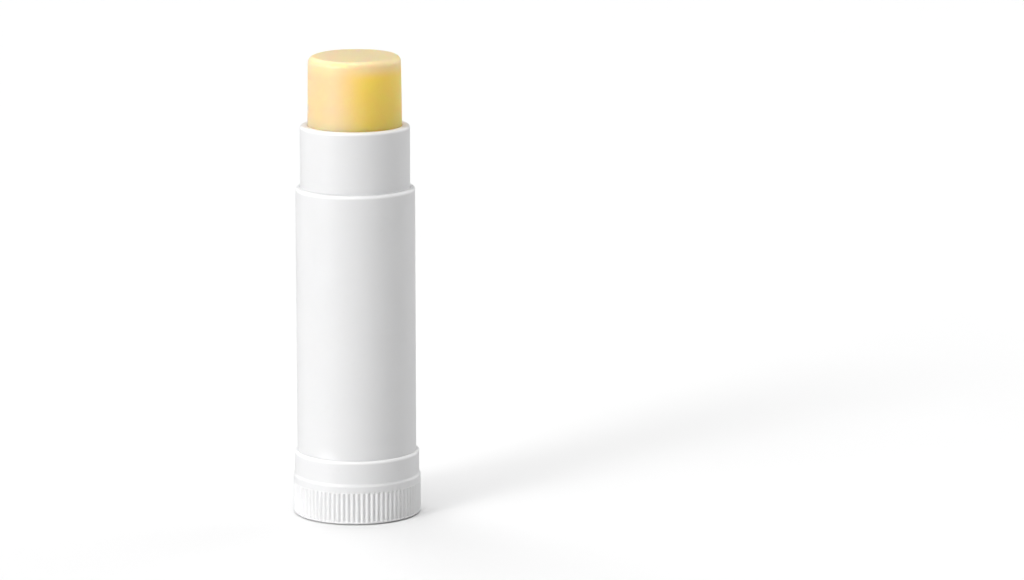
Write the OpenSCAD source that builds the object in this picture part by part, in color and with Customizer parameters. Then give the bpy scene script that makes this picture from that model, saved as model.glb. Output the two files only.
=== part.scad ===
// Twist-up lip balm stick, shown without its cap and wound partly out.
// Millimetres, +Z up. The origin is the middle of the face that it stands on.
// Turning the dial clockwise, seen from below, turns the spindle with it. Its left-hand thread
// then lifts the carrier, whose lugs run in the slots of the sleeve and keep it from turning.

/* [Tube] */
// Outside diameter of the neck, which the cap slides over
neck_d = 10; // [8:0.1:14]
// Height of the neck above the barrel
neck_h = 5.7; // [4:0.1:9]
// Wall of the neck
neck_wall = 0.63; // [0.5:0.01:0.9]
// Rounding of the outer edge of the neck's rim
rim_round = 0.25; // [0.1:0.01:0.35]
// Length of the barrel
barrel_l = 24.38; // [16:0.01:40]
// Wall of the barrel
barrel_wall = 0.64; // [0.4:0.01:1]
// Rounding of the barrel's top edge
barrel_round = 0.28; // [0.1:0.01:0.3]
// Rounding of the barrel's bottom edge
foot_round = 0.03; // [0.01:0.01:0.1]
// Width of the step by which the sleeve sits on the barrel
seat_w = 0.22; // [0.18:0.01:0.3]

/* [Dial] */
// Height of the dial
dial_h = 5.9; // [5.4:0.1:9]
// Wall of the dial beside the sleeve's foot
dial_wall = 0.87; // [0.6:0.01:1.4]
// Rounding of the dial's top edge
dial_round = 0.35; // [0.1:0.01:0.5]
// Thickness of the dial's floor
floor_t = 1; // [0.8:0.05:1.4]
// Height of the thicker, ribbed part of the dial, with the step above it
grip_h = 3.8; // [2.9:0.1:4.6]
// How far the ribbed part stands out from the band above it
grip_step = 0.13; // [0.05:0.01:0.3]
// Radius of both bends of the step between the ribbed part and the band
step_round = 0.2; // [0.1:0.01:0.3]
// Rounding of the dial's bottom edge
base_round = 0.2; // [0.1:0.01:0.35]
// Number of ribs around the dial
rib_count = 80; // [40:1:100]
// Width of the groove between two ribs
groove_w = 0.24; // [0.14:0.01:0.26]
// Depth of the groove between two ribs
groove_depth = 0.12; // [0.05:0.01:0.15]
// Height of the grooves' lower ends
groove_z = 0.22; // [0.2:0.01:0.8]
// Height from the grooves' upper ends to the top of the step
groove_top_gap = 0.8; // [0.5:0.05:1.2]
// Width of the ring that the dial stands on
foot_ring_w = 1.3; // [0.8:0.1:2]
// Depth of the hollow under the dial
hollow_depth = 0.3; // [0.1:0.05:0.4]
// Diameter of the moulding mark in the middle of the hollow
gate_d = 1.4; // [0.8:0.1:2]
// Height of the moulding mark
gate_h = 0.08; // [0.04:0.01:0.1]
// Height of the lip that snaps over the sleeve's foot
lip_h = 1.7; // [1.2:0.1:2]
// Lead-in at the top of the lip, which helps the foot to snap in
lip_lead = 0.2; // [0.1:0.05:0.4]
// How far the snap bead stands out from the sleeve's foot
bead_proud = 0.15; // [0.1:0.01:0.2]
// Height of the snap bead
bead_h = 0.85; // [0.6:0.05:1]

/* [Screw] */
// Travel of the carrier for one turn of the dial
thread_lead = 2.5; // [2:0.1:3.5]
// Outside diameter of the spindle's thread
thread_d = 3.2; // [2.8:0.1:3.6]
// Depth of the spindle's thread
thread_depth = 0.45; // [0.3:0.01:0.6]
// Width of the thread at its crest
crest_w = 0.6; // [0.4:0.05:0.8]
// Width of the thread at its root
root_w = 1.05; // [0.9:0.05:1.2]
// How far the thread reaches above the carrier's hub, wound right up
thread_spare = 0.1; // [0.05:0.05:0.5]
// Height of the tapered tip above the thread
tip_h = 0.6; // [0.3:0.1:1]
// Diameter of the collar that rests on the dial's socket
collar_d = 4.6; // [4:0.1:5.4]
// Thickness of the collar
collar_h = 0.4; // [0.3:0.05:0.8]
// Size of the spindle's six-sided plug across its corners
plug_d = 2.6; // [2.2:0.1:3]
// Height of the dial's socket above its floor
socket_h = 1.4; // [1:0.1:1.8]
// Wall of the socket outside the plug's corners
socket_wall = 0.9; // [0.6:0.05:1.2]
// Depth of the plug's hole below the top of the dial's floor
plug_sunk = 0.1; // [0:0.05:0.3]

/* [Carrier] */
// Wall of the carrier's cup
cup_wall = 0.4; // [0.3:0.01:0.6]
// Thickness of the carrier's floor
cup_floor_t = 1; // [0.8:0.05:1.5]
// Height of the carrier's threaded hub
hub_h = 3; // [2:0.1:4]
// Wall of the hub outside its thread
hub_wall = 0.85; // [0.6:0.05:1]
// Number of guide lugs, and of slots in the sleeve
lug_count = 4; // [2:1:6]
// Width of a lug
lug_w = 1.2; // [0.8:0.05:1.6]
// Height of a lug
lug_h = 1.2; // [1:0.1:2]
// Width of the fins that key the balm into the cup
fin_w = 0.5; // [0.3:0.05:0.8]
// Height of the fins above the carrier's floor
fin_h = 1.4; // [0.5:0.1:1.8]

/* [Balm] */
// How far the balm stands out of the neck
balm_out = 6.45; // [0:0.05:24]
// Depth of the balm's top below the rim when it is wound right down
balm_sunk = 0.45; // [0.2:0.05:1.5]
// Rounding of the balm's top edge
balm_round = 0.6; // [0.2:0.05:1.2]
// How much slimmer the balm's tip is than the rest, on each side
balm_taper = 0.06; // [0.02:0.01:0.2]
// Length of the slimmer tip
taper_l = 6; // [2:0.5:10]

/* [Clearances] */
// Between the sleeve and the barrel, on each side
press_clear = 0.03; // [0.01:0.01:0.05]
// Between the neck's step and the barrel's top
seat_clear = 0.02; // [0.01:0.01:0.05]
// Between the sleeve's foot and the dial's lip, on each side
turn_clear = 0.07; // [0.05:0.01:0.1]
// Between the snap bead and the dial, on each side
bead_clear = 0.1; // [0.06:0.01:0.15]
// Between the dial and the barrel
dial_gap = 0.02; // [0.01:0.01:0.2]
// Between the snap bead and the dial's lip
bead_play = 0.05; // [0.03:0.01:0.1]
// Between the sleeve's foot and the dial's floor
foot_gap = 0.2; // [0.1:0.05:0.4]
// Between the carrier and the sleeve's bore, on each side
cup_clear = 0.12; // [0.08:0.01:0.2]
// Between the balm and the sleeve's bore, on each side
balm_clear = 0.12; // [0.1:0.01:0.25]
// Between a lug and each side of its slot
slot_clear = 0.1; // [0.08:0.01:0.2]
// Between a lug's end and the barrel's bore
lug_clear = 0.13; // [0.1:0.01:0.2]
// Between the spindle's thread and the hub's thread
thread_clear = 0.15; // [0.12:0.01:0.2]
// Between the balm's core and the spindle's thread, on each side
core_clear = 0.15; // [0.1:0.01:0.3]
// Between the balm's core and the spindle's tip, with the balm wound down
tip_clear = 0.3; // [0.2:0.05:0.6]
// Between the spindle's plug and its socket
plug_clear = 0.02; // [0:0.01:0.04]
// Between the balm and the carrier that it is cast into
cast_gap = 0.02; // [0.01:0.01:0.05]
// Between the carrier, wound right down, and the spindle's collar
stop_gap = 0.1; // [0.05:0.05:0.3]
// Between the slots' upper ends and the barrel's top
slot_end_gap = 0.7; // [0.1:0.05:1]
// Between the cup's rim, wound right up, and the rim of the neck
cup_sunk = 0.2; // [0.1:0.05:0.6]

/* [Hidden] */

$fn = 96;
groove_fn = 16;
// Overlap that keeps cut faces apart from the faces they cut
over = 0.1;

// Radii, from the neck inwards and then outwards
neck_r = neck_d / 2;
bore_r = neck_r - neck_wall;
sleeve_r = neck_r - seat_w;
barrel_bore_r = sleeve_r + press_clear;
barrel_r = barrel_bore_r + barrel_wall;
lip_r = sleeve_r + turn_clear;
bead_r = sleeve_r + bead_proud;
cavity_r = bead_r + bead_clear;
dial_r = lip_r + dial_wall;
grip_r = dial_r + grip_step;
cup_r = bore_r - cup_clear;
cup_inner_r = cup_r - cup_wall;
lug_r = barrel_bore_r - lug_clear;
balm_r = bore_r - balm_clear;
thread_r = thread_d / 2;
thread_root_r = thread_r - thread_depth;
nut_r = thread_r + thread_clear;
hub_r = nut_r + hub_wall;
core_r = thread_r + core_clear;
plug_r = plug_d / 2;
socket_r = plug_r + socket_wall;

// Heights, from the base up
socket_top_z = floor_t + socket_h;
collar_top_z = socket_top_z + collar_h;
foot_z = floor_t + foot_gap;
lip_z = dial_h - lip_h;
bead_top_z = lip_z - bead_play;
barrel_z = dial_h + dial_gap;
shoulder_z = barrel_z + barrel_l;
rim_z = shoulder_z + neck_h;
slot_end_z = shoulder_z - slot_end_gap;

// The carrier: lowest and highest place, and where it is shown
carrier_low_z = collar_top_z + stop_gap;
carrier_high_z = slot_end_z - lug_h;
carrier_z = carrier_low_z + balm_sunk + balm_out;
cup_h = rim_z - cup_sunk - carrier_high_z;

// The spindle reaches through the hub at the carrier's highest place
thread_top_z = carrier_high_z + hub_h + thread_spare;
tip_z = thread_top_z + tip_h;

// The balm: its length is set by the tube when it is wound right down
balm_top_z = rim_z + balm_out;
balm_z = carrier_z + cup_floor_t;
core_top_z = tip_z + tip_clear + carrier_z - carrier_low_z;

// The groove's cutter is a rod whose arc has the groove's width and depth
groove_r = (groove_w * groove_w / 4 + groove_depth * groove_depth) / (2 * groove_depth);
groove_top_z = grip_h - groove_top_gap;

// The step is an S of two equal bends, and this is how far each of them turns
step_turn = acos(1 - grip_step / (2 * step_round));
step_z = grip_h - 2 * step_round * sin(step_turn);

// Facets of the screw thread for one turn, and across one stretch of its section
thread_slices = 20;
crest_steps = 3;
root_steps = 8;
// Facets of one bend of the dial's step
step_facets = 6;

// What is left over when a corner of a revolved outline is rounded. The quarters run from the
// outer top corner through the inner top and the inner bottom to the outer bottom one.
module corner(r, z, radius, quarter) {
    toward_middle = [[-1, -1], [1, -1], [1, 1], [-1, 1]];
    translate([r, z] + radius * toward_middle[quarter])
        rotate(90 * quarter)
            difference() {
                square(radius + over);
                circle(radius);
            }
}

// A stretch of a revolved outline between two radii and two heights
module band(r0, r1, z0, z1) {
    translate([r0, z0]) square([r1 - r0, z1 - z0]);
}

// Half of the angle that a stretch of the given axial width takes in the thread's section
function half_angle(width) = 180 * width / thread_lead;

// Section of a one-start thread: an arc at the crest and an arc at the root, joined by flanks
function thread_section(root_r, crest_r, root_angle, crest_angle) = concat(
    [for (i = [0 : crest_steps])
        let (a = -crest_angle + 2 * crest_angle * i / crest_steps)
        crest_r * [cos(a), sin(a)]],
    [for (i = [0 : root_steps])
        let (a = root_angle + (360 - 2 * root_angle) * i / root_steps)
        root_r * [cos(a), sin(a)]]
);

// Left-hand thread from z0 to z1, grown by a clearance on every side. Every thread made here is
// in step with the others, because the turn at a height depends on that height alone.
module thread(z0, z1, clear) {
    turns = (z1 - z0) / thread_lead;
    translate([0, 0, z0])
        rotate(-360 * z0 / thread_lead)
            linear_extrude(
                height = z1 - z0,
                twist = 360 * turns,
                slices = ceil(thread_slices * turns),
                segments = crest_steps + root_steps + 2
            )
                polygon(thread_section(
                    thread_root_r + clear,
                    thread_r + clear,
                    half_angle(root_w + 2 * clear),
                    half_angle(crest_w + 2 * clear)
                ));
}

// Turning dial: a cup that snaps onto the sleeve's foot, with a socket for the spindle
module thumb_dial() {
    color([0.95, 0.95, 0.94])
        difference() {
            rotate_extrude() dial_outline();
            for (i = [0 : rib_count - 1])
                rotate(360 * (i + 0.5) / rib_count)
                    translate([grip_r - groove_depth + groove_r, 0, groove_z])
                        cylinder(r = groove_r, h = groove_top_z - groove_z, $fn = groove_fn);
            translate([0, 0, floor_t - plug_sunk])
                cylinder(r = plug_r + plug_clear, h = socket_h + plug_sunk + over, $fn = 6);
        }
}

module dial_outline() {
    difference() {
        union() {
            band(0, dial_r, 0, dial_h);
            band(0, grip_r, 0, step_z);
            step_outline();
        }
        difference() {
            band(0, cavity_r, floor_t, lip_z);
            band(0, socket_r, 0, socket_top_z);
        }
        band(0, lip_r, lip_z - over, dial_h + over);
        difference() {
            band(0, grip_r - foot_ring_w, -over, hollow_depth);
            band(0, gate_d / 2, hollow_depth - gate_h, floor_t);
        }
        corner(dial_r, dial_h, dial_round, 0);
        corner(grip_r, 0, base_round, 3);
        polygon([
            [lip_r, dial_h - lip_lead],
            [lip_r + lip_lead + over, dial_h + over],
            [0, dial_h + over],
            [0, dial_h - lip_lead]
        ]);
    }
}

// The S-shaped step from the ribbed part up to the band
module step_outline() {
    bends = [for (i = [0 : step_facets]) step_turn * i / step_facets];
    polygon(concat(
        [[lip_r + over, step_z - over], [grip_r, step_z - over]],
        [for (a = bends) [grip_r - step_round * (1 - cos(a)), step_z + step_round * sin(a)]],
        [for (i = [1 : step_facets])
            let (a = step_turn - bends[i])
            [dial_r + step_round * (1 - cos(a)), grip_h - step_round * sin(a)]],
        [[lip_r + over, grip_h]]
    ));
}

// Threaded spindle: six-sided plug, collar, left-hand thread and tapered tip
module screw_spindle() {
    color([0.93, 0.93, 0.92]) {
        translate([0, 0, floor_t - plug_sunk + plug_clear])
            cylinder(r = plug_r, h = socket_h + plug_sunk, $fn = 6);
        translate([0, 0, socket_top_z])
            cylinder(d = collar_d, h = collar_h);
        thread(collar_top_z - over, thread_top_z, 0);
        translate([0, 0, thread_top_z - over])
            cylinder(r1 = thread_root_r - over, r2 = thread_root_r / 2, h = tip_h + over);
    }
}

// Outer barrel: a plain tube that the sleeve slides into from above
module outer_barrel() {
    color([0.97, 0.97, 0.96])
        rotate_extrude()
            difference() {
                band(barrel_bore_r, barrel_r, barrel_z, shoulder_z);
                corner(barrel_r, shoulder_z, barrel_round, 0);
                corner(barrel_r, barrel_z, foot_round, 3);
            }
}

// Inner sleeve: neck, step, slotted guide tube and the foot that carries the dial
module inner_sleeve() {
    color([0.97, 0.97, 0.96])
        difference() {
            rotate_extrude() sleeve_outline();
            for (i = [0 : lug_count - 1])
                rotate(360 * i / lug_count)
                    translate([0, -lug_w / 2 - slot_clear, foot_z - over])
                        cube([neck_r + over, lug_w + 2 * slot_clear, slot_end_z - foot_z + over]);
        }
}

module sleeve_outline() {
    difference() {
        union() {
            band(bore_r, sleeve_r, foot_z, rim_z);
            band(bore_r, neck_r, shoulder_z + seat_clear, rim_z);
            polygon([
                [sleeve_r, bead_top_z - bead_h],
                [bead_r, bead_top_z - bead_h / 2],
                [bead_r, bead_top_z - bead_h / 5],
                [sleeve_r, bead_top_z],
                [bore_r, bead_top_z],
                [bore_r, bead_top_z - bead_h]
            ]);
        }
        corner(neck_r, rim_z, rim_round, 0);
        corner(bore_r, rim_z, min(rim_round, neck_wall - rim_round) / 2, 1);
        corner(sleeve_r, foot_z, seat_w, 3);
    }
}

// Carrier: a cup for the balm on a threaded hub, with lugs that run in the sleeve's slots
module carrier_cup() {
    color([0.93, 0.93, 0.92])
        translate([0, 0, carrier_z])
            difference() {
                union() {
                    rotate_extrude()
                        difference() {
                            band(0, cup_r, 0, cup_h);
                            band(hub_r, cup_inner_r, cup_floor_t, cup_h + over);
                            band(0, cup_inner_r, hub_h, cup_h + over);
                        }
                    fins(fin_w, fin_h);
                    lugs();
                }
                translate([0, 0, -carrier_z])
                    thread(carrier_z - over, carrier_z + hub_h + over, thread_clear);
            }
}

// Fins between the hub and the cup's wall, standing on the carrier's floor
module fins(width, height) {
    for (i = [0 : lug_count - 1])
        rotate(360 * (i + 0.5) / lug_count)
            translate([hub_r - over, -width / 2, cup_floor_t - over])
                cube([cup_inner_r - hub_r + 2 * over, width, height + over]);
}

module lugs() {
    intersection() {
        cylinder(r = lug_r, h = lug_h);
        for (i = [0 : lug_count - 1])
            rotate(360 * i / lug_count)
                translate([cup_inner_r, -lug_w / 2, 0])
                    cube([lug_r, lug_w, lug_h]);
    }
}

// Balm: a cast stick with a soft top edge, a tail that fills the cup and a core for the spindle
module balm() {
    color([0.97, 0.86, 0.56])
        difference() {
            rotate_extrude()
                difference() {
                    union() {
                        band(0, balm_r, carrier_z + cup_h + cast_gap, balm_top_z - taper_l);
                        polygon([
                            [0, balm_top_z - taper_l - over],
                            [balm_r, balm_top_z - taper_l - over],
                            [balm_r, balm_top_z - taper_l],
                            [balm_r - balm_taper, balm_top_z - balm_round],
                            [balm_r - balm_taper, balm_top_z],
                            [0, balm_top_z]
                        ]);
                        band(0, cup_inner_r - cast_gap, balm_z + cast_gap, carrier_z + cup_h + over);
                    }
                    band(0, core_r, balm_z, core_top_z);
                    band(0, hub_r + cast_gap, balm_z, carrier_z + hub_h + cast_gap);
                    corner(balm_r - balm_taper, balm_top_z, balm_round, 0);
                }
            translate([0, 0, carrier_z])
                fins(fin_w + 2 * cast_gap, fin_h + cast_gap);
        }
}

thumb_dial();
screw_spindle();
outer_barrel();
inner_sleeve();
carrier_cup();
balm();
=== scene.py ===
"""Finish of a twist-up lip balm stick, built around its packed frame.

The file is laid out as an add-on and is run as a script. Sizes are in metres, in the frame's axes, and the
scales of textures are counted per metre.
"""

import math

import bmesh
import bpy
from mathutils import Matrix, Vector, noise


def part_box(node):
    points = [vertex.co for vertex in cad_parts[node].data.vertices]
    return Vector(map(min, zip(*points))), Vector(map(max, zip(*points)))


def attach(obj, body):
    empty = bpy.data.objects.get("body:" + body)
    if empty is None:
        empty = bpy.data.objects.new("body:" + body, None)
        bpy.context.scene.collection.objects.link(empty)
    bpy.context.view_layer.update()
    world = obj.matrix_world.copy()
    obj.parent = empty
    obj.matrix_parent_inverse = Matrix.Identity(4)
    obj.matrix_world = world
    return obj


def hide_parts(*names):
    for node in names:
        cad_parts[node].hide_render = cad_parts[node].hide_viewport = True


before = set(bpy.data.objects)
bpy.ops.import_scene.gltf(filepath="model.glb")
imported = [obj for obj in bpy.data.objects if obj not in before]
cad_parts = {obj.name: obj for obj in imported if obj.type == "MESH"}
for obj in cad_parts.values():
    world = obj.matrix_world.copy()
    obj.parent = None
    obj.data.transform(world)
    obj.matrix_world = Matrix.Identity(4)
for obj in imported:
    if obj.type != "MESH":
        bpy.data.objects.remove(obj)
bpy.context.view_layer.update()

bl_info = {
    "name": "Lip Balm Stick Finish",
    "version": (1, 0, 0),
    "blender": (4, 5, 0),
    "location": "View3D > Sidebar > Balm Stick",
    "description": "Dresses the frame of a twist-up lip balm stick in moulded plastic and cast balm",
    "category": "Object",
}

MM = 0.001

DIAL_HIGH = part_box("thumb_dial")[1]
BARREL_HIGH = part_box("outer_barrel")[1]
SLEEVE_LOW, SLEEVE_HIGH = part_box("inner_sleeve")
CARRIER_LOW, CARRIER_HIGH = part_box("carrier_cup")
BALM_LOW, BALM_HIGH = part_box("balm")


def length(name, description, default):
    """A size that a user may change."""
    return bpy.props.FloatProperty(
        name=name, description=description, default=default, min=0.0, unit="LENGTH", precision=6)


def colour(name, description, default):
    """A linear colour that a user may change."""
    return bpy.props.FloatVectorProperty(
        name=name, description=description, default=default, min=0.0, max=1.0, size=3, subtype="COLOR")


def amount(name, description, default, low=0.0, high=1.0):
    """A plain number that a user may change."""
    return bpy.props.FloatProperty(name=name, description=description, default=default, min=low, max=high)


def count(name, description, default, low):
    """A whole number that a user may change."""
    return bpy.props.IntProperty(name=name, description=description, default=default, min=low)


def angle(name, description, degrees):
    """An angle that a user may change."""
    return bpy.props.FloatProperty(
        name=name, description=description, default=math.radians(degrees), subtype="ANGLE")


class TubeSizes(bpy.types.PropertyGroup):
    """Sizes of the outer barrel and of the sleeve inside it."""

    bore_r: length("Bore Radius", "Bore that the balm slides in", 4.37 * MM)
    sleeve_r: length("Sleeve Radius", "Outside of the sleeve inside the barrel", 4.78 * MM)
    barrel_bore_r: length("Barrel Bore Radius", "Bore of the barrel", 4.81 * MM)
    seat_gap: length("Seat Gap", "Gap between the neck's step and the barrel's top", 0.02 * MM)
    rim_round: length("Rim Rounding", "Outer rounding of the neck's rim", 0.24 * MM)
    bore_round: length("Bore Rounding", "Inner rounding of the neck's rim", 0.08 * MM)
    rim_lip: length("Rim Lip", "How far the rim's inner edge stands in from the bore", 0.05 * MM)
    root_flare: length("Root Flare", "Soft flares at the foot of the neck and of the barrel", 0.1 * MM)
    edge_round: length("Edge Rounding", "Rounding of the barrel's top edge", 0.22 * MM)
    dial_gap: length("Dial Gap", "Gap between the dial and the barrel", 0.008 * MM)
    bead_top_z: length("Bead Height", "Upper end of the snap bead", 4.15 * MM)
    bead_h: length("Bead Width", "Height of the snap bead", 0.85 * MM)
    bead_proud: length("Bead Depth", "How far the snap bead stands out", 0.15 * MM)
    slot_w: length("Slot Width", "Width of a guide slot", 1.4 * MM)
    slot_end_z: length("Slot End", "Upper end of the guide slots", 29.6 * MM)
    slot_count: count("Slots", "Guide slots in the sleeve", 4, 1)


class DialSizes(bpy.types.PropertyGroup):
    """Sizes of the dial."""

    band_r: length("Band Radius", "Smooth band above the ribs", 5.72 * MM)
    grip_h: length("Grip Height", "Top of the thicker, ribbed part with its step", 3.8 * MM)
    step_round: length("Step Rounding", "Radius of both bends of the step above the ribs", 0.2 * MM)
    band_round: length("Band Rounding", "Rounding of the dial's top edge", 0.24 * MM)
    base_round: length("Base Rounding", "Rounding of the dial's bottom edge", 0.1 * MM)
    foot_h: length("Foot Height", "Height of the narrower foot that the dial stands on", 0.1 * MM)
    foot_inset: length("Foot Inset", "How far the foot stands back from the ribs", 0.5 * MM)
    lip_r: length("Lip Radius", "Bore of the lip over the sleeve's foot", 4.85 * MM)
    lip_lead: length("Lip Lead", "Lead-in at the lip's upper edge", 0.2 * MM)
    lip_z: length("Lip Bottom", "Lower end of the lip", 4.2 * MM)
    cavity_r: length("Cavity Radius", "Inside of the dial below the lip", 5.03 * MM)
    floor_t: length("Floor", "Thickness of the dial's floor", 1.0 * MM)
    socket_r: length("Socket Radius", "Outside of the spindle's socket", 2.2 * MM)
    socket_top_z: length("Socket Top", "Top of the spindle's socket", 2.4 * MM)
    plug_r: length("Plug Radius", "Hole in the spindle's socket", 1.32 * MM)
    plug_z: length("Plug Bottom", "Bottom of the hole in the socket", 0.9 * MM)
    hollow_r: length("Hollow Radius", "Hollow under the dial", 4.55 * MM)
    hollow_depth: length("Hollow Depth", "Depth of the hollow under the dial", 0.3 * MM)
    gate_r: length("Gate Radius", "Moulding mark under the dial", 0.7 * MM)
    gate_h: length("Gate Height", "Height of the moulding mark", 0.08 * MM)
    rib_count: count("Ribs", "Ribs around the dial", 80, 8)
    groove_depth: length("Groove Depth", "Depth of the grooves between ribs", 0.16 * MM)
    groove_sharpness: amount("Groove Sharpness", "Higher makes narrower grooves", 1.5, 0.5, 8.0)
    groove_low_z: length("Groove Bottom", "Lower end of the grooves", 0.22 * MM)
    groove_high_z: length("Groove Top", "Upper end of the grooves", 3.0 * MM)
    groove_run: length("Groove Run-out", "Length over which a groove's end rises", 0.16 * MM)


class BalmSizes(bpy.types.PropertyGroup):
    """Sizes of the cast balm."""

    swell: length("Swell", "How much larger the balm's radius is than its solid's", 0.04 * MM)
    tail_r: length("Tail Radius", "Tail inside the carrier's cup", 3.83 * MM)
    hub_r: length("Hub Radius", "Room for the carrier's hub", 2.62 * MM)
    hub_top_z: length("Hub Top", "Upper end of the room for the hub", 3.02 * MM)
    core_r: length("Core Radius", "Room for the spindle", 1.75 * MM)
    core_top_z: length("Core Top", "Upper end of the room for the spindle", 39.3 * MM)
    top_round: length("Top Rounding", "Rounding of the balm's top edge", 0.6 * MM)
    taper: length("Taper", "How much slimmer the tip is than the rest, on each side", 0.06 * MM)
    taper_l: length("Taper Length", "Length of the slimmer tip", 6.0 * MM)
    slant: length("Slant", "How much lower the front of the top is than its back", 0.2 * MM)
    sag: length("Cooling Marks", "Depth of the dips left as the balm cooled", 0.025 * MM)


class Finishes(bpy.types.PropertyGroup):
    """Colours and gloss of the materials."""

    tube_white: colour("Tube White", "White plastic of the tube", (0.762, 0.762, 0.766))
    dial_white: colour("Dial White", "White plastic of the dial", (0.775, 0.775, 0.779))
    inner_white: colour("Inner White", "Undyed plastic of the spindle and carrier", (0.77, 0.77, 0.74))
    # This white and the two reaches after it are a painted highlight just below the edges and over the dial's
    # ribs.
    edge_highlight_white: colour("Edge Highlight White", "White plastic where handling has polished it", (0.96, 0.96, 0.96))
    edge_highlight_reach: length("Edge Polish", "How far below an edge its polish ends", 0.36 * MM)
    grip_highlight_reach: length("Grip Polish", "How far below their upper ends the ribs' polish ends", 8 * MM)
    # This colour paints a pale sheen onto the balm's left side.
    balm_sheen: colour("Balm Sheen", "Balm with the pale bloom of its skin", (0.87, 0.64, 0.35))
    balm_deep: colour("Deep Balm", "Balm without its bloom", (1.0, 0.638, 0.122))
    balm_upper: colour("Upper Balm", "Balm without its bloom, close to its top", (1.0, 0.73, 0.13))
    # This colour paints a pale sheen onto the balm's top.
    balm_top_sheen: colour("Balm Top", "The smooth film on the balm's top", (0.86, 0.71, 0.415))
    sheen_azimuth: angle("Sheen Azimuth", "Side with the most bloom, from the front to the right", -80)
    tube_roughness: amount("Tube Roughness", "Roughness of the tube and of the dial", 0.32)
    balm_roughness: amount("Balm Roughness", "Roughness of the balm", 0.36)


class Studio(bpy.types.PropertyGroup):
    """Camera, lights and floor."""

    camera_x: length("Camera Offset", "How far right of the stick the camera stands", 14.27 * MM)
    camera_distance: length("Camera Distance", "How far in front of the stick the camera stands", 396.4 * MM)
    camera_height: length("Camera Height", "Height of the camera above the floor", 98.38 * MM)
    camera_tilt: angle("Camera Tilt", "How far the camera looks down", 11.086)
    lens: amount("Lens", "Focal length in millimetres on a 36 mm sensor", 155.3, 10.0, 500.0)
    key: amount("Key", "Brightness of the low softbox on the left", 8.4, 0.0, 60.0)
    front: amount("Front", "Brightness of the softbox between the key and the camera", 16.2, 0.0, 60.0)
    overhead: amount("Overhead", "Brightness of the large panel overhead", 1.25, 0.0, 20.0)
    top: amount("Top", "Brightness of the small softbox overhead, which draws the edges", 4.8, 0.0, 60.0)
    rim: amount("Rim", "Brightness of the wide soft light on the right and behind", 1.85, 0.0, 20.0)
    back: amount("Back", "Brightness of the high soft light on the left and behind", 1.8, 0.0, 20.0)
    # The table's glow is painted light; where it fades out around the dark spot it leaves a painted shadow.
    glow: amount("Table Glow", "Brightness of the lit table well away from the stick", 0.03, 0.0, 4.0)
    glow_near: length("Glow Start", "Distance from its dark spot at which the table's glow begins", 4 * MM)
    glow_far: length("Glow Full", "Distance from its dark spot at which the table's glow is full", 10.5 * MM)
    shadow_spot_x: length("Dark Spot Across", "How far right of the stick's axis the table's dark spot is", 2 * MM)
    shadow_spot_y: length("Dark Spot Back", "How far behind the stick's axis the table's dark spot is", 1 * MM)
    # The floor's paleness in reflections paints dimmer reflections of it onto the shiny parts.
    floor_mirrored: amount("Mirrored Floor", "Paleness of the floor where it is reflected", 0.45)
    backdrop: amount("Backdrop", "Brightness of the white backdrop behind the object", 1.05, 0.0, 4.0)


# Soft lights of the room, in degrees: azimuth from the front to the right, height above the
# horizon, and half of the angles that the even core takes and at which the light ends
SOFT_LIGHTS = {
    "key": (-60, 6, 4, 20),
    "front": (-42, 25, 3, 14),
    "overhead": (0, 90, 28, 52),
    "top": (0, 82, 4, 18),
    "rim": (128, 20, 5, 40),
    "back": (-148, 38, 8, 34),
}

PROPERTY_GROUPS = {
    "tube_sizes": TubeSizes,
    "dial_sizes": DialSizes,
    "balm_sizes": BalmSizes,
    "finishes": Finishes,
    "studio": Studio,
}

# Outlines and meshes

ARC_STEP = math.radians(11)
FEWEST_ARC_STEPS = 3
SHARP_ANGLE = math.radians(38)

# Limits below which two points are one, a point is on the axis, and two measures are equal
SAME_POINT, ON_AXIS, EQUAL = 1e-8, 1e-9, 1e-7

# Room between the balm and the cup's rim, and between two bends of the balm's outline
HAIR = 0.02 * MM


def eased(corners):
    """Points of a closed outline whose corners (radius, height, rounding) are rounded by true arcs."""
    points = []
    for i, (r, z, rounding) in enumerate(corners):
        here = Vector((r, z))
        if not rounding:
            points.append(here)
            continue
        before = Vector(corners[i - 1][:2]) - here
        after = Vector(corners[(i + 1) % len(corners)][:2]) - here
        before.normalize()
        after.normalize()
        half = before.angle(after) / 2
        reach = rounding / math.tan(half)
        centre = here + (before + after).normalized() * rounding / math.sin(half)
        start = here + before * reach - centre
        sweep = start.angle_signed(here + after * reach - centre)
        steps = max(FEWEST_ARC_STEPS, round(abs(sweep) / ARC_STEP))
        for k in range(steps + 1):
            turned = Matrix.Rotation(-sweep * k / steps, 2) @ start
            points.append(centre + turned)
    return [here for i, here in enumerate(points) if (here - points[i - 1]).length > SAME_POINT]


def divided(points, longest, low=-1.0, high=1.0):
    """The outline with more points where a stretch between the two heights is longer than asked."""
    result = []
    for i, here in enumerate(points):
        following = points[(i + 1) % len(points)]
        result.append(here)
        middle = (here.y + following.y) / 2
        if here.x < ON_AXIS and following.x < ON_AXIS or not low <= middle <= high:
            continue
        parts = math.ceil((following - here).length / longest)
        result += [here.lerp(following, k / parts) for k in range(1, parts)]
    return result


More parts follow.
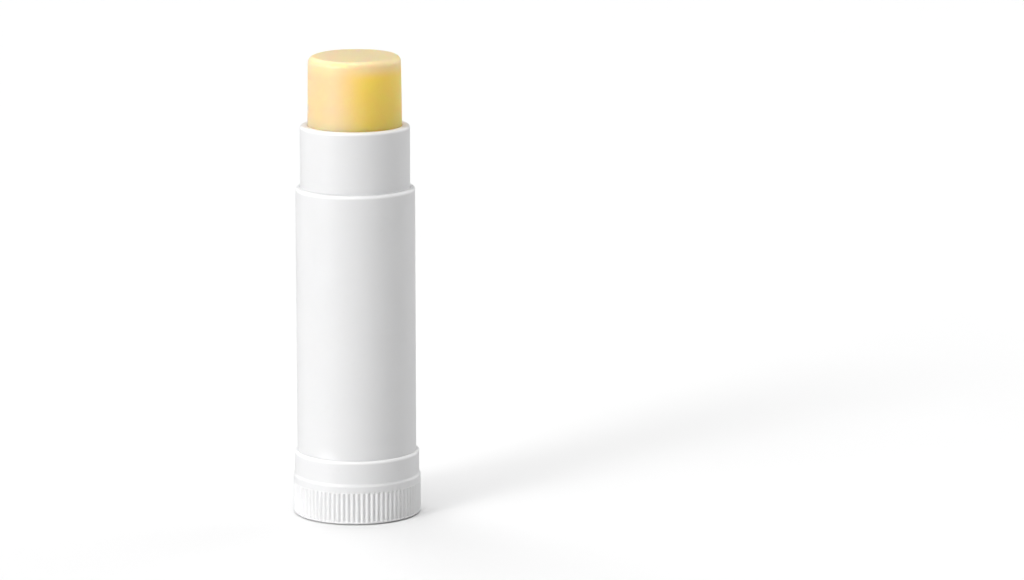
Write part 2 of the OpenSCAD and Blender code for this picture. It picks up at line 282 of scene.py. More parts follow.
def lathe(name, outline, segments):
    """A closed solid of revolution about Z. An outline's points on the axis become poles."""
    mesh = bpy.data.meshes.new(name)
    work = bmesh.new()
    rings = []
    for point in outline:
        if point.x < ON_AXIS:
            rings.append([work.verts.new((0.0, 0.0, point.y))] * segments)
            continue
        rings.append([
            work.verts.new((
                point.x * math.cos(math.tau * k / segments),
                point.x * math.sin(math.tau * k / segments),
                point.y,
            ))
            for k in range(segments)
        ])
    for i, ring in enumerate(rings):
        below = rings[i - 1]
        if ring[0] is ring[1] and below[0] is below[1]:
            continue
        for k in range(segments):
            corners = [below[k - 1], below[k], ring[k], ring[k - 1]]
            work.faces.new(list(dict.fromkeys(corners)))
    bmesh.ops.recalc_face_normals(work, faces=work.faces)
    work.to_mesh(mesh)
    work.free()
    smooth(mesh)
    piece = bpy.data.objects.new(name, mesh)
    bpy.context.scene.collection.objects.link(piece)
    return piece


def smooth(mesh):
    """Gives a mesh smooth shading, with creases where the surface turns sharply."""
    mesh.shade_smooth()
    mesh.set_sharp_from_angle(angle=SHARP_ANGLE)


def bake(piece):
    """Turns a piece's modifiers into its mesh."""
    bpy.context.view_layer.update()
    depsgraph = bpy.context.evaluated_depsgraph_get()
    old = piece.data
    piece.data = bpy.data.meshes.new_from_object(piece.evaluated_get(depsgraph), depsgraph=depsgraph)
    piece.modifiers.clear()
    piece.data.name = old.name
    bpy.data.meshes.remove(old)


def dress(piece, material):
    """Gives a piece one material, in its only slot."""
    piece.data.materials.clear()
    piece.data.materials.append(material)


# Node building

def add(tree, kind, **settings):
    """A new node with the given settings."""
    node = tree.nodes.new(kind)
    for name, value in settings.items():
        setattr(node, name, value)
    return node


def feed(tree, socket, value):
    """Links a socket to another one, or sets it to a value."""
    if isinstance(value, bpy.types.NodeSocket):
        tree.links.new(value, socket)
    else:
        socket.default_value = value


def math_of(tree, operation, first, *others):
    """The result of a Math node, or of a chain of them that takes up one more value each."""
    for other in others or (0.0,):
        node = add(tree, "ShaderNodeMath", operation=operation)
        feed(tree, node.inputs[0], first)
        feed(tree, node.inputs[1], other)
        first = node.outputs[0]
    return first


def ranged(tree, value, low, high, new_low=0.0, new_high=1.0, kind="LINEAR"):
    """A value mapped from one range to another."""
    node = add(tree, "ShaderNodeMapRange", interpolation_type=kind)
    for place, item in enumerate((value, low, high, new_low, new_high)):
        feed(tree, node.inputs[place], item)
    return node.outputs[0]


def axes_of(tree, vector):
    """The X, Y and Z of a vector."""
    node = add(tree, "ShaderNodeSeparateXYZ")
    feed(tree, node.inputs[0], vector)
    return node.outputs


def noise_of(tree, vector, scale, detail=2.0, roughness=0.5):
    """The value of a Noise Texture."""
    node = add(tree, "ShaderNodeTexNoise")
    feed(tree, node.inputs["Vector"], vector)
    feed(tree, node.inputs["Scale"], scale)
    feed(tree, node.inputs["Detail"], detail)
    feed(tree, node.inputs["Roughness"], roughness)
    return node.outputs["Fac"]


def cells_of(tree, vector, scale):
    """The distance to the nearest point of a Voronoi Texture."""
    node = add(tree, "ShaderNodeTexVoronoi", feature="F1")
    feed(tree, node.inputs["Vector"], vector)
    node.inputs["Scale"].default_value = scale
    return node.outputs["Distance"]


def stretched(tree, vector, x, y, z):
    """Coordinates scaled along each axis."""
    node = add(tree, "ShaderNodeMapping")
    feed(tree, node.inputs["Vector"], vector)
    node.inputs["Scale"].default_value = (x, y, z)
    return node.outputs["Vector"]


def new_group(name, inputs, outputs):
    """A shader node group with float or vector sockets, and its two end nodes."""
    group = bpy.data.node_groups.new(name, "ShaderNodeTree")
    for socket, kind, default in inputs:
        made = group.interface.new_socket(name=socket, in_out="INPUT", socket_type=kind)
        if default is not None:
            made.default_value = default
    for socket, kind in outputs:
        group.interface.new_socket(name=socket, in_out="OUTPUT", socket_type=kind)
    return group, add(group, "NodeGroupInput"), add(group, "NodeGroupOutput")


def moulded_skin():
    """Group: the skin that a polished mould leaves, with a faint long ripple and a fine grain."""
    group, start, end = new_group(
        "Moulded Skin",
        [
            ("Vector", "NodeSocketVector", None),
            ("Ripple", "NodeSocketFloat", 0.5),
            ("Grain", "NodeSocketFloat", 0.3),
        ],
        [("Height", "NodeSocketFloat"), ("Shade", "NodeSocketFloat"), ("Gloss", "NodeSocketFloat")],
    )
    place = start.outputs["Vector"]
    ripple = noise_of(group, stretched(group, place, 1.0, 1.0, 0.12), 420.0, 1.0)
    grain = noise_of(group, place, 9000.0, 3.0, 0.6)
    cloud = noise_of(group, place, 230.0, 2.0)
    height = math_of(
        group,
        "ADD",
        math_of(group, "MULTIPLY", ripple, start.outputs["Ripple"]),
        math_of(group, "MULTIPLY", grain, start.outputs["Grain"]),
    )
    feed(group, end.inputs["Height"], height)
    feed(group, end.inputs["Shade"], ranged(group, cloud, 0.3, 0.7))
    gloss = math_of(group, "MULTIPLY", ranged(group, cloud, 0.35, 0.65), ranged(group, grain, 0.3, 0.7))
    feed(group, end.inputs["Gloss"], gloss)


def handling_marks():
    """Group: short hairline rubs and a few specks, as left by pockets and fingers."""
    group, start, end = new_group(
        "Handling Marks",
        [("Vector", "NodeSocketVector", None), ("Amount", "NodeSocketFloat", 0.5)],
        [("Marks", "NodeSocketFloat"), ("Height", "NodeSocketFloat")],
    )
    place = start.outputs["Vector"]
    along = noise_of(group, stretched(group, place, 1.0, 1.0, 9.0), 900.0, 2.0, 0.7)
    across = noise_of(group, stretched(group, place, 4.0, 4.0, 0.5), 1500.0, 2.0, 0.7)
    patches = ranged(group, noise_of(group, place, 180.0), 0.5, 0.62)
    lines = math_of(group, "MAXIMUM", ranged(group, along, 0.66, 0.72), ranged(group, across, 0.68, 0.74))
    specks = ranged(group, cells_of(group, place, 1300.0), 0.05, 0.09, 1.0, 0.0)
    rubs = math_of(group, "MULTIPLY", lines, patches)
    marks = math_of(group, "MULTIPLY", math_of(group, "MAXIMUM", rubs, specks), start.outputs["Amount"])
    feed(group, end.inputs["Marks"], marks)
    feed(group, end.inputs["Height"], math_of(group, "MULTIPLY", marks, -1.0))


# Share of its reach over which an edge's painted highlight is full, and how far above the edge it still
# counts
FULL_HIGHLIGHT = 0.3
EDGE_SLACK = 0.01 * MM


def painted_edge_light():
    """Group: a painted highlight, a paler colour on the face just below an edge at a height."""
    group, start, end = new_group(
        "Painted Edge Light",
        [
            ("Vector", "NodeSocketVector", None),
            ("Edge", "NodeSocketFloat", 0.0),
            ("Reach", "NodeSocketFloat", MM),
            ("Amount", "NodeSocketFloat", 1.0),
        ],
        [("Highlight", "NodeSocketFloat")],
    )
    asked = start.outputs
    rise = math_of(group, "SUBTRACT", axes_of(group, asked["Vector"])[2], asked["Edge"])
    below = ranged(
        group, rise, math_of(group, "MULTIPLY", asked["Reach"], -1.0),
        math_of(group, "MULTIPLY", asked["Reach"], -FULL_HIGHLIGHT), kind="SMOOTHSTEP")
    within = math_of(group, "LESS_THAN", rise, EDGE_SLACK)
    feed(group, end.inputs["Highlight"], math_of(group, "MULTIPLY", below, within, asked["Amount"]))


def group_node(tree, name, **values):
    """A group placed in a tree, with its inputs set by name."""
    node = add(tree, "ShaderNodeGroup", node_tree=bpy.data.node_groups[name])
    for socket, value in values.items():
        feed(tree, node.inputs[socket], value)
    return node.outputs


def new_material(name):
    """The tree and the shader of an empty material, and the piece's own coordinates."""
    material = bpy.data.materials.new(name)
    material.use_nodes = True
    tree = material.node_tree
    tree.nodes.clear()
    shader = add(tree, "ShaderNodeBsdfPrincipled")
    output = add(tree, "ShaderNodeOutputMaterial")
    tree.links.new(shader.outputs["BSDF"], output.inputs["Surface"])
    return tree, shader, add(tree, "ShaderNodeTexCoord").outputs["Object"]


def mixed(tree, factor, first, second):
    """Two colours mixed by a factor."""
    node = add(tree, "ShaderNodeMix", data_type="RGBA")
    feed(tree, node.inputs["Factor"], factor)
    feed(tree, node.inputs[6], first)
    feed(tree, node.inputs[7], second)
    return node.outputs[2]


def bump(tree, shader, height, distance):
    """A bump on the shader's normal, as high in metres as the distance where the height is 1."""
    node = add(tree, "ShaderNodeBump")
    feed(tree, node.inputs["Height"], height)
    node.inputs["Distance"].default_value = distance
    tree.links.new(node.outputs["Normal"], shader.inputs["Normal"])


def rgba(values, share=1.0):
    """A colour scaled and given a full alpha."""
    return tuple(v * share for v in values) + (1.0,)


def grey(value):
    """A neutral colour with a full alpha."""
    return (value, value, value, 1.0)


# Shades of the plastic in its clouds and in its rubs, and how much rougher the rubs are
CLOUD_SHADE, RUB_SHADE, RUB_ROUGHNESS = 0.985, 0.93, 0.14


def plastic(name, white, highlight_white, edges, roughness, ripple, grain, marks, depth):
    """Moulded white plastic: faint clouds, uneven gloss, grain, light marks, and a painted highlight just
    below its edges.

    Each edge is its height, how far below it the painted highlight ends, and how strong that highlight is.
    """
    tree, shader, place = new_material(name)
    skin = group_node(tree, "Moulded Skin", Vector=place, Ripple=ripple, Grain=grain)
    rubs = group_node(tree, "Handling Marks", Vector=place, Amount=marks)
    base = mixed(tree, skin["Shade"], rgba(white, CLOUD_SHADE), rgba(white))
    base = mixed(tree, rubs["Marks"], base, rgba(white, RUB_SHADE))
    # Paints a highlight: a paler white just below each edge.
    highlight = 0.0
    for edge, reach, strength in edges:
        lit_edge = group_node(tree, "Painted Edge Light", Vector=place, Edge=edge, Reach=reach, Amount=strength)
        highlight = math_of(tree, "MAXIMUM", lit_edge["Highlight"], highlight)
    feed(tree, shader.inputs["Base Color"], mixed(tree, highlight, base, rgba(highlight_white)))
    even = ranged(tree, skin["Gloss"], 0.0, 1.0, roughness - 0.03, roughness + 0.05)
    feed(tree, shader.inputs["Roughness"], math_of(
        tree, "ADD", even, math_of(tree, "MULTIPLY", rubs["Marks"], RUB_ROUGHNESS)))
    bump(tree, shader, math_of(tree, "ADD", skin["Height"], rubs["Height"]), depth)
    shader.inputs["IOR"].default_value = 1.49
    shader.inputs["Subsurface Weight"].default_value = 0.12
    shader.inputs["Subsurface Radius"].default_value = (1.0, 0.95, 0.9)
    shader.inputs["Subsurface Scale"].default_value = 0.6 * MM


# Depths below the balm's top at which its painted top sheen and its upper part begin and are full, and the
# range of the turn towards the side with the painted sheen, from -1 to 1, over which that sheen sets in
TOP_SHEEN_DEPTHS = 1.9 * MM, 0.5 * MM
UPPER_DEPTHS = 5.5 * MM, 2 * MM
SHEEN_TURN = -0.24, 0.56


def sheen_masks(tree, place, azimuth, uneven):
    """Masks of the balm: its side with a painted sheen at an azimuth, the painted sheen on its top, and its
    upper part.
    """
    side = add(tree, "ShaderNodeVectorMath", operation="DOT_PRODUCT")
    feed(tree, side.inputs[0], place)
    side.inputs[1].default_value = (
        math.sin(azimuth) / BALM_HIGH.x, -math.cos(azimuth) / BALM_HIGH.x, 0.0)
    height = axes_of(tree, place)[2]
    top_sheen = ranged(tree, height, *(BALM_HIGH.z - depth for depth in TOP_SHEEN_DEPTHS), kind="SMOOTHSTEP")
    upper = ranged(tree, height, *(BALM_HIGH.z - depth for depth in UPPER_DEPTHS))
    turn = math_of(tree, "ADD", side.outputs["Value"], uneven)
    return ranged(tree, turn, *SHEEN_TURN, kind="SMOOTHSTEP"), top_sheen, upper


def wax(finish):
    """Cast balm: translucent, softly mottled, with faint cooling streaks and tiny pits, and a painted pale
    sheen on its left side and its top.
    """
    tree, shader, place = new_material("cast_balm")
    cloud = noise_of(tree, place, 190.0, 3.0, 0.55)
    streak = noise_of(tree, stretched(tree, place, 1.0, 1.0, 0.2), 700.0, 3.0, 0.6)
    fine = noise_of(tree, place, 5200.0, 3.0, 0.6)
    shade = math_of(tree, "ADD", cloud, math_of(tree, "MULTIPLY", streak, 0.5))
    # The side and top masks paint a pale sheen onto the balm's left side and its top.
    sheen, top_sheen, upper = sheen_masks(
        tree, place, finish.sheen_azimuth, ranged(tree, shade, 0.4, 1.1, -0.1, 0.1))
    side = mixed(tree, upper, rgba(finish.balm_deep), rgba(finish.balm_upper))
    side = mixed(tree, sheen, side, rgba(finish.balm_sheen))
    feed(tree, shader.inputs["Base Color"], mixed(tree, top_sheen, side, rgba(finish.balm_top_sheen)))
    pits = ranged(tree, cells_of(tree, place, 1500.0), 0.04, 0.14, kind="SMOOTHSTEP")
    feed(tree, shader.inputs["Roughness"], math_of(
        tree, "ADD", ranged(tree, fine, 0.3, 0.7, -0.05, 0.06), finish.balm_roughness,
        ranged(tree, cloud, 0.3, 0.7, -0.04, 0.06)))
    height = math_of(
        tree, "ADD", math_of(tree, "MULTIPLY", pits, 0.5), math_of(tree, "MULTIPLY", fine, 0.45), streak)
    bump(tree, shader, height, 0.012 * MM)
    shader.inputs["IOR"].default_value = 1.5
    shader.inputs["Specular IOR Level"].default_value = 0.7
    shader.inputs["Subsurface Weight"].default_value = 1.0
    shader.inputs["Subsurface Radius"].default_value = (1.0, 0.45, 0.13)
    shader.inputs["Subsurface Scale"].default_value = 3.2 * MM


# Ribs of the dial

# Only what is farther out than this share of the grip's radius is pressed
OUTSIDE_SHARE = 0.97


def grip_nodes():
    """Geometry nodes that press rounded grooves into a revolved dial, between two heights."""
    tree = bpy.data.node_groups.new("Ribbed Grip", "GeometryNodeTree")
    sockets = tree.interface
    sockets.new_socket(name="Geometry", in_out="INPUT", socket_type="NodeSocketGeometry")
    sockets.new_socket(name="Rib Count", in_out="INPUT", socket_type="NodeSocketInt")
    for name in ("Grip Radius", "Groove Depth", "Groove Sharpness", "Lower End", "Upper End", "Run-out"):
        sockets.new_socket(name=name, in_out="INPUT", socket_type="NodeSocketFloat")
    sockets.new_socket(name="Material", in_out="INPUT", socket_type="NodeSocketMaterial")
    sockets.new_socket(name="Geometry", in_out="OUTPUT", socket_type="NodeSocketGeometry")
    start, end = add(tree, "NodeGroupInput"), add(tree, "NodeGroupOutput")
    asked = start.outputs
    x, y, z = axes_of(tree, add(tree, "GeometryNodeInputPosition").outputs[0])
    turn = math_of(tree, "ARCTAN2", y, x)
    wave = math_of(tree, "COSINE", math_of(tree, "MULTIPLY", turn, asked["Rib Count"]))
    pressed = math_of(tree, "POWER", ranged(tree, wave, -1.0, 1.0), asked["Groove Sharpness"])
    risen = ranged(
        tree, z, asked["Lower End"], math_of(tree, "ADD", asked["Lower End"], asked["Run-out"]),
        kind="SMOOTHSTEP")
    fallen = ranged(
        tree, z, math_of(tree, "SUBTRACT", asked["Upper End"], asked["Run-out"]), asked["Upper End"],
        1.0, 0.0, "SMOOTHSTEP")
    radius = math_of(tree, "SQRT", math_of(
        tree, "ADD", math_of(tree, "MULTIPLY", x, x), math_of(tree, "MULTIPLY", y, y)))
    outside = math_of(
        tree, "GREATER_THAN", radius, math_of(tree, "MULTIPLY", asked["Grip Radius"], OUTSIDE_SHARE))
    depth = math_of(
        tree, "MULTIPLY", pressed, asked["Groove Depth"], outside, math_of(tree, "MULTIPLY", risen, fallen))
    inward = math_of(tree, "MULTIPLY", math_of(tree, "DIVIDE", depth, radius), -1.0)
    offset = add(tree, "ShaderNodeCombineXYZ")
    feed(tree, offset.inputs[0], math_of(tree, "MULTIPLY", x, inward))
    feed(tree, offset.inputs[1], math_of(tree, "MULTIPLY", y, inward))
    moved = add(tree, "GeometryNodeSetPosition")
    tree.links.new(asked["Geometry"], moved.inputs["Geometry"])
    tree.links.new(offset.outputs[0], moved.inputs["Offset"])
    real = add(tree, "GeometryNodeRealizeInstances")
    tree.links.new(moved.outputs[0], real.inputs[0])
    painted = add(tree, "GeometryNodeSetMaterial")
    tree.links.new(real.outputs[0], painted.inputs["Geometry"])
    tree.links.new(asked["Material"], painted.inputs["Material"])
    tree.links.new(painted.outputs[0], end.inputs["Geometry"])
    return tree


def press_ribs(piece, sizes, material):
    """Runs the ribbed grip's nodes on a piece and keeps the plain mesh that they make."""
    tree = grip_nodes()
    modifier = piece.modifiers.new("Ribbed Grip", "NODES")
    modifier.node_group = tree
    values = {
        "Rib Count": sizes.rib_count,
        "Grip Radius": DIAL_HIGH.x,
        "Groove Depth": sizes.groove_depth,
        "Groove Sharpness": sizes.groove_sharpness,
        "Lower End": sizes.groove_low_z,
        "Upper End": sizes.groove_high_z,
        "Run-out": sizes.groove_run,
        "Material": material,
    }
    for item in tree.interface.items_tree:
        if item.in_out == "INPUT" and item.name in values:
            modifier[item.identifier] = values[item.name]
    bake(piece)
    smooth(piece.data)


# Operators, one for each piece

class BALM_OT_make_materials(bpy.types.Operator):
    """Make the plastic and balm materials"""

    bl_idname = "balm_stick.make_materials"
    bl_label = "Make Materials"

    def execute(self, context):
        finish, dial = context.scene.finishes, context.scene.dial_sizes
        reach = finish.edge_highlight_reach
        moulded_skin()
        handling_marks()
        painted_edge_light()
        # The neck's rim, the barrel's top, the dial's top, its step and its ribs get a painted highlight.
        plastic(
            "moulded_tube", finish.tube_white, finish.edge_highlight_white,
            edges=[(SLEEVE_HIGH.z, reach, 0.8), (BARREL_HIGH.z, reach, 1.0)],
            roughness=finish.tube_roughness, ripple=0.6, grain=0.12, marks=0.5, depth=0.008 * MM)
        plastic(
            "moulded_dial", finish.dial_white, finish.edge_highlight_white,
            edges=[
                (DIAL_HIGH.z, reach, 1.0),
                (dial.grip_h, reach, 0.4),
                (dial.groove_high_z, finish.grip_highlight_reach, 0.3),
            ],
            roughness=finish.tube_roughness, ripple=0.5, grain=0.14, marks=0.7, depth=0.008 * MM)
        plastic(
            "moulded_inner", finish.inner_white, finish.edge_highlight_white,
            edges=[], roughness=0.5, ripple=0.4, grain=0.3, marks=0.4, depth=0.01 * MM)
        wax(finish)
        return {"FINISHED"}


class BALM_OT_build_barrel(bpy.types.Operator):
    """Build the outer barrel"""

    bl_idname = "balm_stick.build_barrel"
    bl_label = "Build Barrel"

    segments: count("Segments", "Faces around the barrel", 256, 32)

    def execute(self, context):
        size = context.scene.tube_sizes
        outer, low, high = BARREL_HIGH.x, DIAL_HIGH.z + size.dial_gap, BARREL_HIGH.z
        corners = [
            (size.barrel_bore_r, low, 0),
            (outer + size.root_flare / 2, low, 0),
            (outer, low + size.root_flare, 0),
            (outer, high, size.edge_round),
            (size.barrel_bore_r, high, 0),
        ]
        piece = lathe("barrel_tube", divided(eased(corners), longest=1.2 * MM), self.segments)
        dress(piece, bpy.data.materials["moulded_tube"])
        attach(piece, "tube")
        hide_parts("outer_barrel")
        return {"FINISHED"}


class BALM_OT_build_sleeve(bpy.types.Operator):
    """Build the inner sleeve with its neck, snap bead and guide slots"""

    bl_idname = "balm_stick.build_sleeve"
    bl_label = "Build Sleeve"

    segments: count("Segments", "Faces around the sleeve", 256, 32)

    def execute(self, context):
        size = context.scene.tube_sizes
        neck, low, rim = SLEEVE_HIGH.x, SLEEVE_LOW.z, SLEEVE_HIGH.z
        seat = BARREL_HIGH.z + size.seat_gap
        bead = size.sleeve_r + size.bead_proud
        # The rim's lip, and the slope that leads from it to the bore, are each five times as high as deep
        lip_r, lip_h = size.bore_r - size.rim_lip, 5 * size.rim_lip
        corners = [
            (size.bore_r, low, 0),
            (size.sleeve_r, low, size.bead_proud),
            (size.sleeve_r, size.bead_top_z - size.bead_h, 0),
            (bead, size.bead_top_z - size.bead_h / 2, 0),
            (bead, size.bead_top_z - size.bead_h / 5, 0),
            (size.sleeve_r, size.bead_top_z, 0),
            (size.sleeve_r, seat, 0),
            (neck + size.root_flare, seat, 0),
            (neck, seat + size.root_flare, 0),
            (neck, rim, size.rim_round),
            (lip_r, rim, size.bore_round),
            (lip_r, rim - lip_h, 0),
            (size.bore_r, rim - 2 * lip_h, 0),
        ]
        piece = lathe("neck_sleeve", divided(eased(corners), longest=1.5 * MM), self.segments)
        self.cut_slots(piece, size, low)
        dress(piece, bpy.data.materials["moulded_tube"])
        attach(piece, "tube")
        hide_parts("inner_sleeve")
        return {"FINISHED"}

    @staticmethod
    def cut_slots(piece, size, low):
        """Cuts the slots for the carrier's lugs, open at the foot, by bars that reach past the sleeve."""
        spare = 0.3 * MM
        work = bmesh.new()
        for i in range(size.slot_count):
            turn = math.tau * i / size.slot_count
            made = bmesh.ops.create_cube(work, size=1.0)["verts"]
            for vert in made:
                along = (vert.co.x + 0.5) * (SLEEVE_HIGH.x + spare)
                across = vert.co.y * size.slot_w
                vert.co = Vector((
                    along * math.cos(turn) - across * math.sin(turn),
                    along * math.sin(turn) + across * math.cos(turn),
                    low - spare + (vert.co.z + 0.5) * (size.slot_end_z - low + spare),
                ))
        cutter_mesh = bpy.data.meshes.new("slot_cutter")
        work.to_mesh(cutter_mesh)
        work.free()
        cutter = bpy.data.objects.new("slot_cutter", cutter_mesh)
        bpy.context.scene.collection.objects.link(cutter)
        modifier = piece.modifiers.new("Guide Slots", "BOOLEAN")
        modifier.object = cutter
        modifier.operation = "DIFFERENCE"
        modifier.solver = "EXACT"
        modifier.use_self = True
        bake(piece)
        bpy.data.objects.remove(cutter)
        bpy.data.meshes.remove(cutter_mesh)
        smooth(piece.data)


class BALM_OT_build_dial(bpy.types.Operator):
    """Build the dial with its ribbed grip"""

    bl_idname = "balm_stick.build_dial"
    bl_label = "Build Dial"

    faces_per_rib: count("Faces per Rib", "Faces across one rib and its groove", 12, 6)

    def execute(self, context):
        size = context.scene.dial_sizes
        grip, top = DIAL_HIGH.x, DIAL_HIGH.z
        gate_z = size.hollow_depth - size.gate_h
        step_turn = math.acos(1 - (grip - size.band_r) / (2 * size.step_round))
        step_rise = 2 * size.step_round * math.sin(step_turn)
        bend = size.step_round * math.tan(step_turn / 2)
        corners = [
            (0, gate_z, 0),
            (size.gate_r, gate_z, 0),
            (size.gate_r, size.hollow_depth, 0),
            (size.hollow_r, size.hollow_depth, 0),
            (size.hollow_r, 0, 0),
            (grip - size.foot_inset, 0, 0),
            (grip - size.foot_inset, size.foot_h, 0),
            (grip, size.foot_h, size.base_round),
            (grip, size.grip_h - step_rise + bend, size.step_round),
            (size.band_r, size.grip_h - bend, size.step_round),
            (size.band_r, top, size.band_round),
            (size.lip_r + size.lip_lead, top, 0),
            (size.lip_r, top - size.lip_lead, 0),
            (size.lip_r, size.lip_z, 0),
            (size.cavity_r, size.lip_z, 0),
            (size.cavity_r, size.floor_t, 0),
            (size.socket_r, size.floor_t, 0),
            (size.socket_r, size.socket_top_z, 0),
            (size.plug_r, size.socket_top_z, 0),
            (size.plug_r, size.plug_z, 0),
            (0, size.plug_z, 0),
        ]
        outline = self.finer_ribs(eased(corners), size)
        piece = lathe("dial_shell", outline, size.rib_count * self.faces_per_rib)
        press_ribs(piece, size, bpy.data.materials["moulded_dial"])
        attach(piece, "dial")
        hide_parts("thumb_dial")
        return {"FINISHED"}

    @staticmethod
    def finer_ribs(points, size):
        """The outline with close points at the grooves' ends, where they rise to the surface."""
        run, steps = size.groove_run, 5
        heights = [size.groove_low_z + run * k / steps for k in range(steps + 1)]
        heights += [size.groove_high_z - run * k / steps for k in range(steps, -1, -1)]
        result = []
        for i, here in enumerate(points):
            result.append(here)
            following = points[(i + 1) % len(points)]
            if abs(here.x - DIAL_HIGH.x) > EQUAL or abs(following.x - DIAL_HIGH.x) > EQUAL:
                continue
            result += [Vector((here.x, z)) for z in heights if here.y + EQUAL < z < following.y - EQUAL]
        return result


class BALM_OT_build_balm(bpy.types.Operator):
    """Build the cast balm"""

    bl_idname = "balm_stick.build_balm"
    bl_label = "Build Balm"

    segments: count("Segments", "Faces around the balm", 240, 32)

    def execute(self, context):
        size = context.scene.balm_sizes
        outer, low, top = BALM_HIGH.x + size.swell, BALM_LOW.z, BALM_HIGH.z
        hub_top = CARRIER_LOW.z + size.hub_top_z
        cup_rim = CARRIER_HIGH.z + HAIR
        tip = outer - size.taper
        corners = [
            (0, size.core_top_z, 0),
            (size.core_r, size.core_top_z, 0),
            (size.core_r, hub_top, 0),
            (size.hub_r, hub_top, 0),
            (size.hub_r, low, 0),
            (size.tail_r, low, 0),
            (size.tail_r, cup_rim, 0),
            (outer, cup_rim, 0),
            (outer, top - size.taper_l, 0),
            (tip, top - size.top_round - HAIR, 0),
            (tip, top, size.top_round),
            (0, top, 0),
        ]
        outline = divided(eased(corners), longest=0.25 * MM, low=top - size.taper_l)
        piece = lathe("balm_stick", outline, self.segments)
        self.soften(piece.data, size, outer, top)
        dress(piece, bpy.data.materials["cast_balm"])
        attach(piece, "carrier")
        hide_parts("balm")
        return {"FINISHED"}

    @staticmethod
    def soften(mesh, size, outer, top):
        """Slants the cast top a little and gives it shallow dips, never past the mould's size."""
        start = top - size.taper_l
        roof = top - 2 * MM  # The spindle's room, which keeps its shape, ends below this
        back_x, back_y = 0.34, 0.94  # Way from the slant's low side to its high one
        dips_per_metre, drawn_in = 260.0, 0.4
        for vert in mesh.vertices:
            place = vert.co
            if place.z < start or math.hypot(place.x, place.y) < size.core_r and place.z < roof:
                continue
            up = (place.z - start) / size.taper_l
            dip = size.sag * (0.5 + 0.5 * noise.noise(place * dips_per_metre)) * up
            low_side = 0.5 - 0.5 * (back_y * place.y + back_x * place.x) / outer
            place.x *= 1 - drawn_in * dip / outer
            place.y *= 1 - drawn_in * dip / outer
            place.z -= up ** 2 * size.slant * low_side + dip


class BALM_OT_finish_mechanism(bpy.types.Operator):
    """Give the spindle and the carrier their plastic"""

    bl_idname = "balm_stick.finish_mechanism"
    bl_label = "Finish Mechanism"

    def execute(self, context):
        for node in ("screw_spindle", "carrier_cup"):
            dress(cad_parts[node], bpy.data.materials["moulded_inner"])
        return {"FINISHED"}


class BALM_OT_set_stage(bpy.types.Operator):
    """Set the floor, the lights and the camera"""

    bl_idname = "balm_stick.set_stage"
    bl_label = "Set Stage"

    floor_size: length("Floor Size", "Width of the floor", 12.0)

    def execute(self, context):
        studio = context.scene.studio
        context.scene.view_settings.view_transform = "Standard"
        self.camera(context.scene, studio)
        self.floor(studio)
        self.room(context.scene, studio)
        return {"FINISHED"}

    @staticmethod
    def camera(scene, studio):
        """The scene's camera, in front of the stick and looking a little down."""
        data = bpy.data.cameras.new("camera")
        data.lens = studio.lens
        data.sensor_width = 36.0
        data.clip_start, data.clip_end = 0.01, 50.0
        camera = bpy.data.objects.new("camera", data)
        camera.location = (studio.camera_x, -studio.camera_distance, studio.camera_height)
        camera.rotation_euler = (math.radians(90) - studio.camera_tilt, 0.0, 0.0)
        scene.collection.objects.link(camera)
        scene.camera = camera

    def floor(self, studio):
        """A plain pale table with a faint painted glow, which fades out around a spot under and right of the
        stick into a painted shadow.

        It is less pale where it is reflected, which paints dimmer reflections of it onto the shiny parts.
        """
        half = self.floor_size / 2
        corners = [(-half, -half, 0), (half, -half, 0), (half, half, 0), (-half, half, 0)]
        mesh = bpy.data.meshes.new("floor")
        mesh.from_pydata(corners, [], [(0, 1, 2, 3)])
        floor = bpy.data.objects.new("floor", mesh)
        bpy.context.scene.collection.objects.link(floor)
        tree, shader, place = new_material("pale_floor")
        shader.inputs["Roughness"].default_value = 0.85
        shader.inputs["Specular IOR Level"].default_value = 0.1
        pale = mixed(tree, noise_of(tree, place, 40.0), grey(0.84), grey(0.86))
        # Paints a dimmer reflection: the table is darker only in glossy rays.
        reflected = add(tree, "ShaderNodeLightPath").outputs["Is Glossy Ray"]
        feed(tree, shader.inputs["Base Color"], mixed(tree, reflected, pale, grey(studio.floor_mirrored)))
        away = add(tree, "ShaderNodeVectorMath", operation="DISTANCE")
        feed(tree, away.inputs[0], place)
        away.inputs[1].default_value = (studio.shadow_spot_x, studio.shadow_spot_y, 0.0)
        shader.inputs["Emission Color"].default_value = grey(1.0)
        feed(tree, shader.inputs["Emission Strength"], ranged(
            tree, away.outputs["Value"], studio.glow_near, studio.glow_far, 0.0, studio.glow, "SMOOTHSTEP"))
        dress(floor, bpy.data.materials["pale_floor"])

    @staticmethod
    def room(scene, studio):
        """Soft lights in a dark room, and a white backdrop that only the camera sees."""
        world = bpy.data.worlds.new("studio")
        world.use_nodes = True
        tree = world.node_tree
        tree.nodes.clear()
        toward = add(tree, "ShaderNodeTexCoord").outputs["Generated"]
        light = 0.0
        for name, angles in SOFT_LIGHTS.items():
            source = soft_source(tree, toward, *map(math.radians, angles))
            light = math_of(tree, "ADD", math_of(tree, "MULTIPLY", source, getattr(studio, name)), light)
        lit, white = add(tree, "ShaderNodeBackground"), add(tree, "ShaderNodeBackground")
        lit.inputs["Color"].default_value = white.inputs["Color"].default_value = grey(1.0)
        feed(tree, lit.inputs["Strength"], light)
        white.inputs["Strength"].default_value = studio.backdrop
        chosen = add(tree, "ShaderNodeMixShader")
        feed(tree, chosen.inputs[0], add(tree, "ShaderNodeLightPath").outputs["Is Camera Ray"])
        tree.links.new(lit.outputs[0], chosen.inputs[1])
        tree.links.new(white.outputs[0], chosen.inputs[2])
        tree.links.new(chosen.outputs[0], add(tree, "ShaderNodeOutputWorld").inputs["Surface"])
        scene.world = world


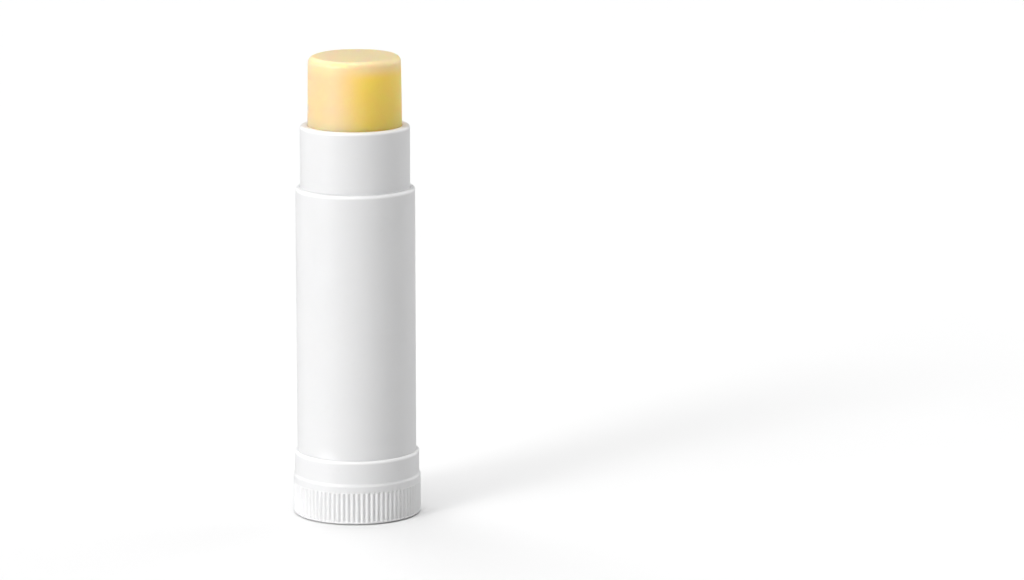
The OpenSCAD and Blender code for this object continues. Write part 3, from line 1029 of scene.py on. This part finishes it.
def soft_source(tree, toward, azimuth, elevation, core, edge):
    """How much of a round soft light is seen in a direction: 1 in its core, and 0 outside its edge."""
    aim = add(tree, "ShaderNodeVectorMath", operation="DOT_PRODUCT")
    feed(tree, aim.inputs[0], toward)
    level = math.cos(elevation)
    aim.inputs[1].default_value = (math.sin(azimuth) * level, -math.cos(azimuth) * level, math.sin(elevation))
    turn = math_of(tree, "ARCCOSINE", aim.outputs["Value"])
    return ranged(tree, turn, core, edge, 1.0, 0.0, "SMOOTHSTEP")


class BALM_PT_sidebar(bpy.types.Panel):
    """Builds the stick piece by piece and holds its sizes"""

    bl_idname = "BALM_PT_sidebar"
    bl_label = "Lip Balm Stick"
    bl_space_type = "VIEW_3D"
    bl_region_type = "UI"
    bl_category = "Balm Stick"

    def draw(self, context):
        for step in STEPS:
            self.layout.operator(step.bl_idname)
        for holder, group in PROPERTY_GROUPS.items():
            box = self.layout.box()
            box.label(text=group.__doc__)
            for name in group.__annotations__:
                box.prop(getattr(context.scene, holder), name)


STEPS = (
    BALM_OT_make_materials,
    BALM_OT_build_barrel,
    BALM_OT_build_sleeve,
    BALM_OT_build_dial,
    BALM_OT_build_balm,
    BALM_OT_finish_mechanism,
    BALM_OT_set_stage,
)


def register():
    for holder, group in PROPERTY_GROUPS.items():
        bpy.utils.register_class(group)
        setattr(bpy.types.Scene, holder, bpy.props.PointerProperty(type=group))
    for step in STEPS:
        bpy.utils.register_class(step)
    bpy.utils.register_class(BALM_PT_sidebar)


def unregister():
    bpy.utils.unregister_class(BALM_PT_sidebar)
    for step in reversed(STEPS):
        bpy.utils.unregister_class(step)
    for holder, group in PROPERTY_GROUPS.items():
        delattr(bpy.types.Scene, holder)
        bpy.utils.unregister_class(group)


def main():
    register()
    bpy.ops.balm_stick.make_materials()
    bpy.ops.balm_stick.build_barrel()
    bpy.ops.balm_stick.build_sleeve()
    bpy.ops.balm_stick.build_dial()
    bpy.ops.balm_stick.build_balm()
    bpy.ops.balm_stick.finish_mechanism()
    bpy.ops.balm_stick.set_stage()


if __name__ == "__main__":
    main()
